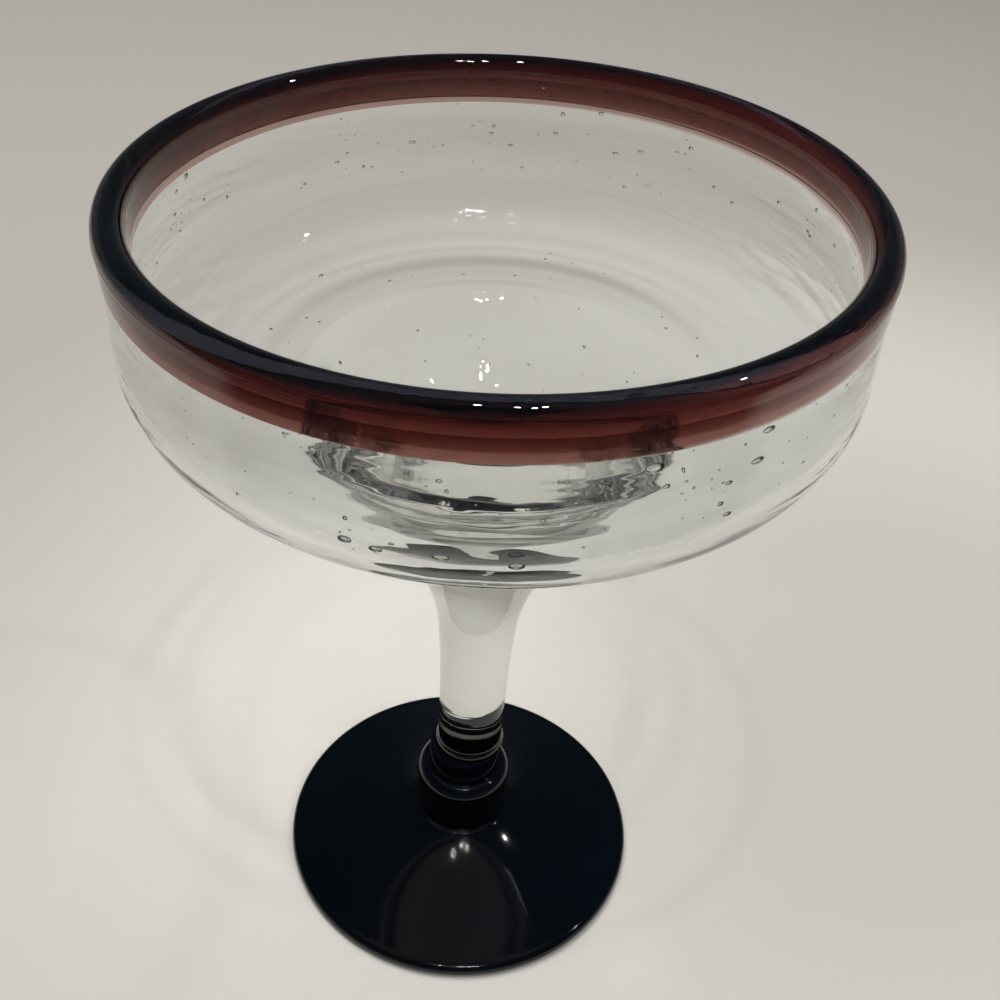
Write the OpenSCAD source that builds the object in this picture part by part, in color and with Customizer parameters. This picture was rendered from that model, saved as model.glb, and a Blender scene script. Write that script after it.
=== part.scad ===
// Hand-blown margarita glass: a wide clear bowl with a round well in its floor, a wine-red band
// and a dark rolled lip, on a clear trumpet stem, a clear stem collar, a black hub and a black foot.
// All lengths are in millimetres. The stem stands on the Z axis and the table is at Z = 0.

/* [Glass] */
// Height of the upright glass, from the table to the top of the lip
glass_h = 165.6; // [155:0.2:180]
// Outer diameter over the rolled lip
rim_d = 127; // [120:0.5:136]
// Lean of the hand-set bowl on its stem, in degrees
bowl_lean = 1.5; // [0:0.1:2]
// Direction of the high side of the rim, in degrees from +X
lean_heading = 34; // [0:1:359]

/* [Rolled lip] */
// Radius of the lip's round section
lip_r = 2.57; // [2.3:0.01:3]

/* [Coloured band] */
// Height of the band, from its lower edge to the middle of the lip
band_h = 6.1; // [4.5:0.1:8]
// Thickness of the band at its lower edge
band_edge_t = 0.55; // [0.45:0.01:0.8]
// Thickness of the band where it runs under the lip
band_lip_t = 1.1; // [0.9:0.05:1.4]
// How far the band's lower edge stands proud of the wall below it
band_proud = 0.35; // [0.2:0.01:0.4]

/* [Bowl] */
// Height from the flat underside to the middle of the lip
bowl_h = 35.4; // [32:0.1:42]
// Thickness of the wall
wall_t = 3; // [2.4:0.1:3.4]
// Thickness of the floor
floor_t = 3.2; // [2.6:0.1:4]
// Outer radius of the round corner between the wall and the underside
corner_r = 15.5; // [12:0.1:18]
// How far the wall stands in from the rim's outer edge at its belly
belly_inset = 0.2; // [0:0.05:0.6]
// How far the wall draws in from its belly to the band
neck_inset = 0.4; // [0.1:0.05:0.8]
// Height of the tool rings on the floor inside
ring_h = 0.2; // [0.1:0.05:0.5]
// Radius of the first tool ring
ring_first_r = 42; // [40:0.5:44]
// Distance from one tool ring to the next
ring_pitch = 10.5; // [8.5:0.5:11]
// Half the width of one tool ring
ring_half_w = 4; // [2:0.5:4]

/* [Well and funnel] */
// Radius of the round well in the middle of the floor, where its side is steepest
well_r = 20; // [17:0.5:23]
// Depth of the well below the floor
well_depth = 19; // [12:0.5:21]
// Radius where the floor begins to dip into the well
well_mouth_r = 34.5; // [32:0.5:37]
// Thickness of the glass between the bottom of the well and the stem
well_floor_t = 4.8; // [3:0.1:6]
// Radius where the funnel under the bowl runs out into the flat underside
funnel_flare_r = 40; // [38:0.5:43]

/* [Stem] */
// Radius of the stem along its shank
stem_shank_r = 7.2; // [6.5:0.1:7.4]
// Radius of the stem where the trumpet begins
stem_throat_r = 8.75; // [8:0.05:10]
// Radius of the trumpet where it meets the funnel under the bowl
trumpet_r = 22.3; // [20:0.1:24]

/* [Collar] */
// Radius of the clear collar under the stem
collar_r = 7.7; // [7.6:0.1:9]
// Height of the collar
collar_h = 3.5; // [3:0.1:5]
// Radius of the collar's rounded lower edge
collar_edge_r = 1.2; // [0.6:0.1:1.4]

/* [Hub] */
// Radius of the black hub
hub_r = 10.5; // [10:0.1:12]
// Height of the hub's round body
hub_h = 12.7; // [10:0.1:15]
// Radius of the neck that carries the collar
neck_r = 7.9; // [7:0.1:8.2]
// Height of the neck
neck_h = 5.8; // [4:0.1:8]
// How far the hub's side swells out at mid height
hub_swell = 0.3; // [0:0.05:0.5]

/* [Foot] */
// Diameter of the foot
foot_d = 80.5; // [74:0.5:90]
// Thickness of the foot at its rounded edge
foot_edge_t = 3; // [2.4:0.1:4]
// Height of the foot's top, where the hub stands
foot_crown_h = 12.5; // [10:0.1:15]
// Width of the step round the hub on top of the foot
foot_step_w = 0.8; // [0.4:0.1:1.5]
// Width of the flat ring that the foot rests on
foot_ring_w = 5.75; // [4:0.25:10]
// Height of the hollow under the foot
recess_h = 1; // [0.5:0.1:2]

/* [Hidden] */
$fn = 128;

// Heights and radii that follow from the sizes above
rim_r = rim_d / 2;
lip_ring_r = rim_r - lip_r;
lip_z = glass_h - lip_r;
under_z = lip_z - bowl_h;
floor_z = under_z + floor_t;
belly_r = rim_r - belly_inset;
corner_centre_r = belly_r - corner_r;
corner_centre_z = under_z + corner_r;
band_z = lip_z - band_h;
band_foot_r = belly_r - neck_inset + band_proud;
collar_z = foot_crown_h + hub_h + neck_h;
stem_z = collar_z + collar_h;
well_low_z = floor_z - well_depth;
joint_z = well_low_z - well_floor_t;
stem_h = joint_z - stem_z;
foot_r = foot_d / 2;
foot_edge_r = foot_edge_t / 2;

// Where the stem's throat is, as a share of its height
throat_share = 0.517;
// Where the shank turns towards the throat, as shares of how far it opens and of the stem's height
shank_shares = [[0, 0.193], [0.26, 0.407]];
// Where the trumpet turns, as shares of how far it opens and of the stem's height
trumpet_shares = [[0.085, 0.628], [0.653, 0.883]];
// Where the funnel turns, as shares of its way out and of its height
funnel_shares = [[0.25, 0.39], [0.55, 1]];
// How high the steepest part of the well's side is, as a share of its depth
well_side_share = 0.45;
// Where the well turns above that, as shares of the way out to its mouth and of its depth
well_edge_shares = [[0.55, 1], [0.4, 0.718]];
// Where the well turns below that, as shares of its radius and of its depth
well_bottom_shares = [[0.62, 0.124], [0.35, 0]];
// How far the stem's blank runs on past the funnel that trims it, as a share of its last bend
blank_over_share = 0.35;
// The top of the foot between its edge and the hub, as shares of the way in and of the way up
foot_sweep_shares = [[0.39, 0.33], [0.77, 0.6]];
// Where the collar's side turns in to the stem, as shares of the way in and of the way up
collar_turn_shares = [[0, 0.45], [0, 0.8], [1, 0.75]];

// Steps along the curves
arc_steps = 14;
curve_steps = 16;
ring_steps = 14;
wall_steps = 5;
ring_count = 2;

// Points on an arc of an ellipse, from angle a to angle b
function arc(centre, half_w, half_h, a, b, steps) = [
    for (i = [0 : steps])
        let (t = a + (b - a) * i / steps)
        [centre.x + half_w * cos(t), centre.y + half_h * sin(t)]
];

// Points on a cubic curve that leaves p for q and comes from r to s
function bend(p, q, r, s, steps) = [
    for (i = [0 : steps])
        let (t = i / steps, u = 1 - t)
        u * u * u * p + 3 * u * u * t * q + 3 * u * t * t * r + t * t * t * s
];

// The point that lies on the way from p to q by the given shares of the way across and of the way up
function between(p, q, share) = [for (i = [0, 1]) p[i] + (q[i] - p[i]) * share[i]];

// Radius of the bowl's outer wall at height z, between its corner and the band
function wall_r(z) = belly_r - neck_inset * pow((z - corner_centre_z) / (band_z - corner_centre_z), 2);

// Height that the tool rings add to the floor and the lower corner at radius r
function ring_rise(r) =
    let (nearest = min(max(round((r - ring_first_r) / ring_pitch), 0), ring_count - 1))
    let (away = abs(r - ring_first_r - nearest * ring_pitch) / ring_half_w)
    away < 1 ? ring_h * (1 + cos(180 * away)) / 2 : 0;

// The round corner and the floor inside, from the wall in to the mouth of the well
floor_points = [
    for (p = concat(
        arc([corner_centre_r, corner_centre_z], corner_r - wall_t, corner_r - floor_t, 0, -90, arc_steps),
        [for (i = [1 : ring_steps - 1])
            [corner_centre_r + (well_mouth_r - corner_centre_r) * i / ring_steps, floor_z]]
    ))
        [p.x, p.y + ring_rise(p.x)]
];

// The steepest place of the well's side
well_side = [well_r, well_low_z + well_depth * well_side_share];

// The well, from its mouth in the floor down to the middle of its bottom
well_points = concat(
    bend(
        [well_mouth_r, floor_z],
        between([well_r, well_low_z], [well_mouth_r, floor_z], well_edge_shares[0]),
        between([well_r, well_low_z], [well_mouth_r, floor_z], well_edge_shares[1]),
        well_side,
        curve_steps
    ),
    [for (p = bend(
        well_side,
        between([0, well_low_z], [well_r, floor_z], well_bottom_shares[0]),
        between([0, well_low_z], [well_r, floor_z], well_bottom_shares[1]),
        [0, well_low_z],
        curve_steps
    )) if (p != well_side) p]
);

// The outside of the funnel, from its joint with the stem out to the flat underside
funnel_points = bend(
    [trumpet_r, joint_z],
    between([trumpet_r, joint_z], [funnel_flare_r, under_z], funnel_shares[0]),
    between([trumpet_r, joint_z], [funnel_flare_r, under_z], funnel_shares[1]),
    [funnel_flare_r, under_z],
    curve_steps
);

// The stem's rim and the last turn below it, which give the slope of the trumpet at the joint
stem_rim = [trumpet_r, joint_z];
stem_last_turn = between([stem_throat_r, stem_z], stem_rim, trumpet_shares[1]);

// How far the upright stem stands from the axis: under the middle of the leaning funnel, less what
// the leaning joint moves the section of the trumpet's cone
stem_out = (lip_z - joint_z) * sin(bowl_lean)
    - trumpet_r * tan(bowl_lean) * (stem_rim.x - stem_last_turn.x) / (stem_rim.y - stem_last_turn.y);

// The outer wall, from the corner up to the band
wall_points = [
    for (i = [1 : wall_steps])
        let (z = corner_centre_z + (band_z - corner_centre_z) * i / wall_steps)
        [wall_r(z), z]
];

// The inside of the wall, from the band down to the corner
inner_points = [
    for (i = [0 : wall_steps - 1])
        let (z = band_z + (corner_centre_z - band_z) * i / wall_steps)
        [wall_r(z) - wall_t, z]
];

// The face where the band lies on the bowl, from the band's lower edge up into the lip
band_seat = [
    [band_foot_r - band_edge_t, band_z],
    [band_foot_r - band_lip_t, lip_z]
];

// Sets the bowl over on its stem, about the middle of the rim
module leaned() {
    translate([0, 0, lip_z])
        rotate([0, 0, lean_heading])
            rotate([0, -bowl_lean, 0])
                rotate([0, 0, -lean_heading])
                    translate([0, 0, -lip_z])
                        children();
}

// Stands the stem and its collar under the leaning funnel
module under_funnel() {
    translate([stem_out * cos(lean_heading), stem_out * sin(lean_heading), 0])
        children();
}

// The lip's round section
module lip_section() {
    translate([lip_ring_r, lip_z])
        circle(lip_r);
}

// Clear blown bowl: a nearly upright wall, a round corner, a floor with tool rings, and in its middle
// a round well, with the thick funnel under it that the stem carries
module bowl() {
    outline = concat(
        [[0, joint_z]],
        funnel_points,
        arc([corner_centre_r, corner_centre_z], corner_r, corner_r, -90, 0, arc_steps),
        wall_points,
        band_seat,
        [[wall_r(band_z) - wall_t, lip_z]],
        inner_points,
        floor_points,
        well_points
    );
    color([0.86, 0.88, 0.87, 0.4])
        leaned()
            rotate_extrude()
                difference() {
                    polygon(outline);
                    lip_section();
                }
}

// Wine-red sleeve of glass round the top of the wall, thin and rounded at its lower edge
module rim_band() {
    outline = concat(
        [band_seat[0]],
        arc([band_foot_r - band_proud, band_z + band_proud], band_proud, band_proud, -90, 0, arc_steps),
        [[band_foot_r, lip_z], band_seat[1]]
    );
    color([0.42, 0.07, 0.08])
        leaned()
            rotate_extrude()
                difference() {
                    polygon(outline);
                    lip_section();
                }
}

// Dark rolled lip, a round rod of glass that closes the wall and the band
module lip_bead() {
    color([0.05, 0.05, 0.08])
        leaned()
            rotate_extrude()
                lip_section();
}

// Clear drawn stem that opens into a solid trumpet, trimmed by the leaning joint with the funnel
module stem() {
    foot_point = [stem_shank_r, stem_z];
    throat = [stem_throat_r, stem_z + stem_h * throat_share];
    blank_end = stem_rim + (stem_rim - stem_last_turn) * blank_over_share;
    shank = bend(
        foot_point,
        between(foot_point, [stem_throat_r, joint_z], shank_shares[0]),
        between(foot_point, [stem_throat_r, joint_z], shank_shares[1]),
        throat,
        curve_steps
    );
    trumpet = bend(
        throat,
        between([stem_throat_r, stem_z], stem_rim, trumpet_shares[0]),
        stem_last_turn,
        stem_rim,
        curve_steps
    );
    outline = concat(
        [[0, stem_z]],
        shank,
        [for (i = [1 : curve_steps]) trumpet[i]],
        [blank_end, [0, blank_end.y]]
    );
    color([0.88, 0.9, 0.9, 0.5])
        difference() {
            under_funnel()
                rotate_extrude()
                    polygon(outline);
            leaned()
                translate([0, 0, joint_z])
                    cylinder(r = rim_r, h = bowl_h);
        }
}

// Clear collar between the stem and the hub, round below and drawn in smoothly to the stem above
module stem_collar() {
    collar_top = [stem_shank_r, stem_z];
    collar_side = [collar_r, collar_z];
    outline = concat(
        [[0, collar_z]],
        arc(
            [collar_r - collar_edge_r, collar_z + collar_edge_r],
            collar_edge_r, collar_edge_r, -90, 0, arc_steps
        ),
        bend(
            between(collar_side, collar_top, collar_turn_shares[0]),
            between(collar_side, collar_top, collar_turn_shares[1]),
            between(collar_side, collar_top, collar_turn_shares[2]),
            collar_top,
            curve_steps
        ),
        [[0, stem_z]]
    );
    color([0.6, 0.62, 0.6, 0.6])
        under_funnel()
            rotate_extrude()
                polygon(outline);
}

// Black hub: a round body with a rolled shoulder, and a neck that carries the collar
module foot_hub() {
    shoulder_r = hub_r - neck_r;
    neck_z = foot_crown_h + hub_h;
    side_h = hub_h - shoulder_r;
    outline = concat(
        [[0, foot_crown_h]],
        [for (i = [0 : curve_steps])
            [hub_r + hub_swell * sin(180 * i / curve_steps), foot_crown_h + side_h * i / curve_steps]],
        arc([neck_r, neck_z - shoulder_r], shoulder_r, shoulder_r, 0, 90, arc_steps),
        [[neck_r, collar_z], [0, collar_z]]
    );
    color([0.02, 0.02, 0.03])
        rotate_extrude()
            polygon(outline);
}

// Black foot: a thin round-edged disc that sweeps up to the hub, hollow underneath
module foot() {
    edge_ring_r = foot_r - foot_edge_r;
    recess_r = edge_ring_r - foot_ring_w;
    crown_r = hub_r + foot_step_w;
    sweep = [
        for (share = foot_sweep_shares)
            between([edge_ring_r, foot_edge_t], [crown_r, foot_crown_h], share)
    ];
    outline = concat(
        [[0, recess_h]],
        bend([0, recess_h], [recess_r / 2, recess_h], [recess_r / 2, 0], [recess_r, 0], curve_steps),
        arc([edge_ring_r, foot_edge_r], foot_edge_r, foot_edge_r, -90, 90, arc_steps),
        bend([edge_ring_r, foot_edge_t], sweep[0], sweep[1], [crown_r, foot_crown_h], curve_steps),
        [[0, foot_crown_h]]
    );
    color([0.02, 0.03, 0.06])
        rotate_extrude()
            polygon(outline);
}

bowl();
rim_band();
lip_bead();
stem();
stem_collar();
foot_hub();
foot();
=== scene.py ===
"""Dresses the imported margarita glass: clear bowl and stem, wine-red band, dark lip, black hub and foot."""

import math
import random

import bmesh
import bpy
from bpy.props import FloatProperty, FloatVectorProperty, IntProperty, PointerProperty
from bpy.types import Operator, Panel, PropertyGroup
from mathutils import Matrix, Vector


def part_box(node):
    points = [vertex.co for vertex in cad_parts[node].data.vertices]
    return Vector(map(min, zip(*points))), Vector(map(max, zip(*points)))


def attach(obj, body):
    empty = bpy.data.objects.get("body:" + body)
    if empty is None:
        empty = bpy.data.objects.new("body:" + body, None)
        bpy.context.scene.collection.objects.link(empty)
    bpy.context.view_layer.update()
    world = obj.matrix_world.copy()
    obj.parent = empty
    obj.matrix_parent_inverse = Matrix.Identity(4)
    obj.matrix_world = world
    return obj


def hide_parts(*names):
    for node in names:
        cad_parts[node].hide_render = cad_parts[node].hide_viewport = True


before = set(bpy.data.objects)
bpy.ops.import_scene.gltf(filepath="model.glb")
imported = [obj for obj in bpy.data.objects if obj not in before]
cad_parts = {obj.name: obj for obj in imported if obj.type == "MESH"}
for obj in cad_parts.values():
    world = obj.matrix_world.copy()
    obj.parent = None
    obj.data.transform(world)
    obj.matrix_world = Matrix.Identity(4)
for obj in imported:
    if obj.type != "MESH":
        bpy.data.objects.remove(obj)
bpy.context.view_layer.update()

bl_info = {
    "name": "Margarita Glass",
    "version": (1, 0, 0),
    "blender": (4, 5, 0),
    "location": "View3D > Sidebar > Glass",
    "description": "Blown, banded and footed margarita glass around its packed frame",
    "category": "Object",
}

MM = 0.001
BODY = "root"

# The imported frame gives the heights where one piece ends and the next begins
LIP_LOW, LIP_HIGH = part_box("lip_bead")
COLLAR_LOW, COLLAR_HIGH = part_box("stem_collar")
HUB_LOW, HUB_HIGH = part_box("foot_hub")
LIP_Z = (LIP_LOW.z + LIP_HIGH.z) / 2

# Distance kept between two fused pieces, and kept inside the frame's own surface
GAP = 0.02 * MM
# How near a face's middle has to be to the surface of a fused joint to belong to it
NEAR = 0.01 * MM
# The same for the level ends of the stem and the collar
NEAR_END = 0.1 * GAP

# Steps round each turned piece, and along the parts of its outline
TURNS = 256
ARC_STEPS = 20
CURVE_STEPS = 24
FINE_STEPS = 40
WALL_STEPS = 12
CORNER_STEPS = 28
INNER_CORNER_STEPS = 36
UNDERSIDE_STEPS = 5
FLOOR_STEPS = 20
FUNNEL_STEPS = 32
EDGE_STEPS = 10
BAND_STEPS = 8
LIP_STEPS = 72
COLLAR_STEPS = 18
SWELL_STEPS = 16
NECK_STEPS = 4
CROWN_STEPS = 48
# Halvings that find where the band's seat enters the lip, and rounds that seat the stem's rim
HALVINGS = 40
SEAT_ROUNDS = 6

# Scale of the ripple in the clear pieces, how far it is drawn out round them, and how much
# stronger it is at the left and right sides of the bowl
RIPPLE_SCALE = 55.0
RIPPLE_DRAW = 5.0
SIDE_RIPPLE = 5.0
# Refractive index of the glass, and of a fused joint, where light passes straight on
GLASS_IOR = 1.5
JOINT_IOR = 1.0
WHITE = (1, 1, 1, 1)

# The ramp of the band's colours, in millimetres above the middle of the lip
FADE_LOW, FADE_HIGH = -7, 3

# The swarms of small seeds in the wall, as azimuth in degrees and height in millimetres
SWARMS = [
    (-96, 152), (-88, 148), (-76, 149), (-62, 149), (-105, 141),
    (-113, 155), (163, 147), (20, 150), (120, 152),
]
# The few big seeds in the wall, with their share of the big size
BIG_SEEDS = [
    (-69.8, 154.4, 1.3), (-54.6, 150.8, 0.8), (-53.4, 155.2, 0.8), (-85.6, 139.7, 1.0),
    (-94.9, 140.8, 0.8), (-88.8, 138.6, 0.7), (-107, 141, 0.9), (-103, 140.5, 0.8), (63, 150, 0.5),
]
# Seeds lie between these shares of the glass's thickness
SEED_DEPTH = (0.35, 0.65)
# How far the seeds in the floor are drawn out
FLOOR_STRETCH = (1.0, 1.6)
# How far the seeds of a swarm scatter round the piece, in degrees, and in height
SWARM_DEGREES, SWARM_RISE = 2.5, 1.5 * MM
# How far below the well's surface the seeds round it lie
UNDER_WELL = 1.6 * MM

# Middle of the pool of light painted on the floor, and how far its painted light and shade spread from
# there, in metres
PAINTED_LIGHT_SPOT = (0.12, 0.06, 0)
PAINTED_LIGHT_REACH = 0.46
# Where the floor's dark front part begins and where it is darkest, along Y in metres
FRONT_BEGINS = (-0.06, -0.1)
# Sines of the heights between which the horizon's colour changes to the one overhead
OVERHEAD_BEGINS = (0.12, 0.4)
LAMP_TARGET = Vector((0, 0, 0.1))
# Light has to pass many surfaces of the glass before it reaches the camera
BOUNCES = 32


def length(name, text, default, low=0.0, high=0.3):
    """A length in metres that the sidebar shows with its unit."""
    return FloatProperty(
        name=name, description=text, default=default, min=low, max=high,
        precision=5, subtype="DISTANCE", unit="LENGTH",
    )


def rotation(name, text, degrees):
    """An angle, given in degrees."""
    return FloatProperty(
        name=name, description=text, default=math.radians(degrees), subtype="ANGLE", unit="ROTATION",
    )


def colour(name, text, default):
    """A linear colour."""
    return FloatVectorProperty(
        name=name, description=text, default=default, min=0.0, max=1.0, subtype="COLOR",
    )


def count(name, text, default, high=400):
    """A whole number."""
    return IntProperty(name=name, description=text, default=default, min=0, max=high)


def share(name, text, default, high=1.0):
    """A plain number."""
    return FloatProperty(name=name, description=text, default=default, min=0.0, max=high, precision=4)


class BowlSettings(PropertyGroup):
    """Sizes of the clear blown bowl."""

    lean: rotation("Lean", "Lean of the hand-set bowl on its stem", 1.5)
    heading: rotation("Heading", "Direction of the high side of the rim", 34)
    height: length("Height", "From the flat underside to the middle of the lip", 35.4 * MM)
    belly: length("Belly radius", "Outer radius of the wall at its belly", 63.3 * MM)
    neck_inset: length("Neck inset", "How far the wall draws in from its belly to the band", 0.4 * MM)
    wall: length("Wall", "Thickness of the wall", 3 * MM)
    floor: length("Floor", "Thickness of the floor", 3.2 * MM)
    corner: length("Corner", "Outer radius of the round lower corner", 15.5 * MM)
    ring_height: length("Ring height", "Height of the tool rings on the floor", 0.2 * MM)
    ring_first: length("First ring", "Radius of the first tool ring", 42 * MM)
    ring_pitch: length("Ring pitch", "Distance from one tool ring to the next", 10.5 * MM)
    ring_half: length("Ring half width", "Half the width of a tool ring", 4 * MM)
    well: length("Well", "Radius of the round well where its side is steepest", 20 * MM)
    well_depth: length("Well depth", "Depth of the well below the floor", 19 * MM)
    mouth: length("Mouth", "Radius where the floor begins to dip into the well", 32.5 * MM)
    funnel: length("Funnel", "Height of the funnel under the bowl, which the stem carries", 20.6 * MM)
    flare: length("Flare", "Radius where the funnel runs out into the flat underside", 34.5 * MM)
    tint: colour("Tint", "Tint of the clear glass", (0.965, 0.975, 0.965))
    thick_tint: colour("Thick tint", "Further tint of the thick glass near the middle", (0.82, 0.82, 0.795))
    tint_streak: colour("Streak tint", "Tint of the faint streaks in the clear glass", (0.94, 0.955, 0.94))


class RimSettings(PropertyGroup):
    """Sizes and colours of the band and the rolled lip."""

    lip: length("Lip radius", "Radius of the lip's round section", 2.57 * MM)
    ring: length("Ring radius", "Radius of the circle that the middle of the lip follows", 60.93 * MM)
    band: length("Band height", "From the band's lower edge to the middle of the lip", 6.1 * MM)
    edge: length("Edge thickness", "Thickness of the band at its lower edge", 0.55 * MM)
    under_lip: length("Lip thickness", "Thickness of the band where it runs under the lip", 1.1 * MM)
    proud: length("Proud", "How far the band's lower edge stands proud of the wall", 0.35 * MM)
    thickening: length("Thickening", "How far below the lip the wall begins to thicken inwards", 20 * MM)
    outer_fuse: rotation("Outer fuse", "How far below its outermost side the lip runs into the band", 4)
    inner_fuse: rotation("Inner fuse", "How far round from that side the lip runs into the wall", 176)
    edge_clear: colour("Edge clear", "What the glass lets through just below the band", (0.9, 0.88, 0.86))
    edge_red: colour("Edge red", "What the band lets through at its lower edge", (0.36, 0.17, 0.145))
    pale_red: colour("Pale red", "What the band lets through low down", (0.24, 0.082, 0.068))
    wine_red: colour("Wine red", "What the band lets through at mid height", (0.13, 0.022, 0.016))
    deep_red: colour("Deep red", "What the lip lets through on its sides", (0.045, 0.005, 0.0045))
    lip_dark: colour("Lip dark", "What the lip lets through at its top", (0.0015, 0.0015, 0.003))
    dark_side: share("Dark side", "How much lower the dark of the lip reaches on the left", 0.014)


class SeedSettings(PropertyGroup):
    """The seed bubbles in the clear glass."""

    wall: count("In the wall", "Number of scattered seeds in the wall", 150)
    floor: count("In the floor", "Number of scattered seeds in the floor, and as many round the well", 50)
    swarm: count("In a swarm", "Number of seeds in each small swarm", 7, 40)
    smallest: length("Smallest", "Half length of the smallest seed", 0.13 * MM)
    largest: length("Largest", "Half length of the largest scattered seed", 0.45 * MM)
    big: length("Big", "Half length of the few big seeds in the front wall", 0.68 * MM)
    order: count("Order", "Seed of the random scatter", 7)


class StemSettings(PropertyGroup):
    """Sizes of the drawn stem and of its collar."""

    shank: length("Shank radius", "Radius of the shank above the collar", 7.2 * MM)
    throat: length("Throat radius", "Radius where the trumpet begins", 8.75 * MM)
    trumpet: length("Trumpet radius", "Radius where the trumpet meets the funnel under the bowl", 22.3 * MM)
    collar: length("Collar radius", "Radius of the clear collar", 7.7 * MM)
    collar_edge: length("Collar edge", "Radius of the collar's rounded lower edge", 1.2 * MM)
    # Painted shade: the clear collar is tinted dark to stand for the black hub seen through it
    hub_shade: colour("Hub shade", "Tint that the black hub gives to the clear collar on it", (0.12, 0.124, 0.118))


class FootSettings(PropertyGroup):
    """Sizes and colours of the hub and the foot."""

    hub: length("Hub radius", "Radius of the black hub", 10.5 * MM)
    hub_height: length("Hub height", "Height of the hub's round body", 12.7 * MM)
    neck: length("Neck radius", "Radius of the neck that carries the collar", 7.9 * MM)
    swell: length("Hub swell", "How far the hub swells out at mid height", 0.3 * MM)
    radius: length("Foot radius", "Radius of the foot", 40.25 * MM)
    edge: length("Edge thickness", "Thickness of the foot at its rounded edge", 3 * MM)
    step: length("Step", "Width of the step round the hub", 0.8 * MM)
    ring_width: length("Resting ring", "Width of the flat ring that the foot rests on", 5.75 * MM)
    hollow: length("Hollow", "Height of the hollow under the foot", 1 * MM)
    black: colour("Black", "Colour of the black glass", (0.0004, 0.0007, 0.0012))
    blue_black: colour("Blue black", "Colour of the bluish cloud in it", (0.0009, 0.0018, 0.0038))


class StageSettings(PropertyGroup):
    """The floor, the lamps and the camera."""

    # The floor's colours are painted light and shade: Floor under is a painted shadow under the glass, Near
    # floor a painted pool of light round it, Far floor the painted falloff to grey further off
    under: colour("Floor under", "Colour of the floor under the glass", (0.47, 0.46, 0.43))
    near: colour("Near floor", "Colour of the floor round the glass", (0.54, 0.53, 0.505))
    far: colour("Far floor", "Colour of the floor further off", (0.405, 0.39, 0.365))
    dusk: colour("Dusk", "Colour of the horizon in reflections", (0.12, 0.12, 0.12))
    through: colour("Through", "Colour of the room overhead as seen through the glass", (0.2, 0.2, 0.195))
    room: colour("Room", "Colour of the dim room overhead", (0.04, 0.06, 0.075))
    haze: colour("Haze", "Colour of the pale backdrop near the horizon", (0.29, 0.285, 0.26))
    front: colour("Front", "Colour in reflections of the floor far in front", (0.05, 0.05, 0.055))
    key_power: share("Key", "Power of the soft lamp overhead, in watts", 19, 500.0)
    fill_power: share("Fill", "Power of the soft lamp at the front, in watts", 5, 500.0)
    bulb_power: share("Bulbs", "Power of each small lamp, in watts", 1.2, 100.0)


def settings(name):
    """One of the property groups on the scene."""
    return getattr(bpy.context.scene, "glass_" + name)


# Outlines, as lists of (radius, height)

def arc(centre, half_width, half_height, start, end, steps=ARC_STEPS):
    """Points on an arc of an ellipse, with the angles in degrees."""
    points = []
    for i in range(steps + 1):
        angle = math.radians(start + (end - start) * i / steps)
        across, up = half_width * math.cos(angle), half_height * math.sin(angle)
        points.append((centre[0] + across, centre[1] + up))
    return points


def bend(p, q, r, s, steps=CURVE_STEPS):
    """Points on a cubic curve that leaves p for q and comes from r to s."""
    points = []
    for i in range(steps + 1):
        t = i / steps
        u = 1 - t
        weights = (u * u * u, 3 * u * u * t, 3 * u * t * t, t * t * t)
        points.append(tuple(sum(w * c[axis] for w, c in zip(weights, (p, q, r, s))) for axis in (0, 1)))
    return points


def line(p, q, steps):
    """Points on a straight line, both ends included."""
    return [
        (p[0] + (q[0] - p[0]) * i / steps, p[1] + (q[1] - p[1]) * i / steps)
        for i in range(steps + 1)
    ]


def spread(low, high, steps):
    """Values at even steps from low to high, without those two."""
    return [low + (high - low) * i / steps for i in range(1, steps)]


def seat_angle(p, q, lip, ring):
    """Where the slanting seat of the band, from p to q, enters the lip, in degrees."""
    low, high = 0.0, 1.0
    for _ in range(HALVINGS):
        middle = (low + high) / 2
        at = (p[0] + (q[0] - p[0]) * middle - ring, p[1] + (q[1] - p[1]) * middle - LIP_Z)
        if math.hypot(*at) > lip:
            low = middle
        else:
            high = middle
    return math.degrees(math.atan2(at[1], at[0]))


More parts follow.
